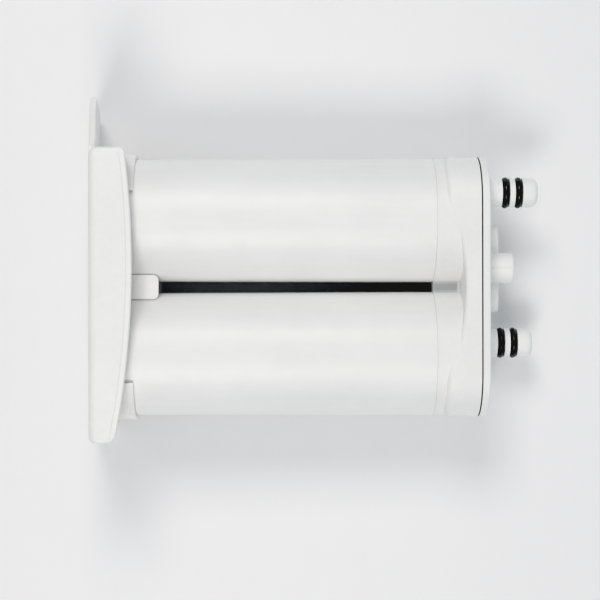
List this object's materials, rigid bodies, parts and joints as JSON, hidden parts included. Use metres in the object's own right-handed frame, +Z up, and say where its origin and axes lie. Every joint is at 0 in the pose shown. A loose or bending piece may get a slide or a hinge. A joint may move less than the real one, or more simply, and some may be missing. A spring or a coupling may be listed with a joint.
{
  "type": "fridge water filter bypass",
  "caption": "Bypass plug for a refrigerator water filter head: side-by-side white canisters, a grip cover with a pull flange, and nozzles with O-rings beside a key post.",
  "frame": {"origin": "centre of the port plate's outer face, midway between the canister axes", "axes": "+X out of the port plate along the nozzles, the way the plug is pushed in; +Y across the canisters, towards the pull flange; +Z up as the part lies on its broad side"},
  "size_m": [0.1755, 0.1295, 0.0616],
  "materials": {
    "white_cover": "fine satin moulding texture",
    "white_canister": "smooth satin moulding",
    "white_head": "smooth satin moulding",
    "black_rubber": "greased, glossy"
  },
  "bodies": {
    "root": {"front_cover": "white_cover", "left_canister": "white_canister", "right_canister": "white_canister", "manifold_head": "white_head", "port_plate": "white_head", "left_inner_o_ring": "black_rubber", "left_outer_o_ring": "black_rubber", "right_inner_o_ring": "black_rubber", "right_outer_o_ring": "black_rubber"}
  },
  "joints": []
}
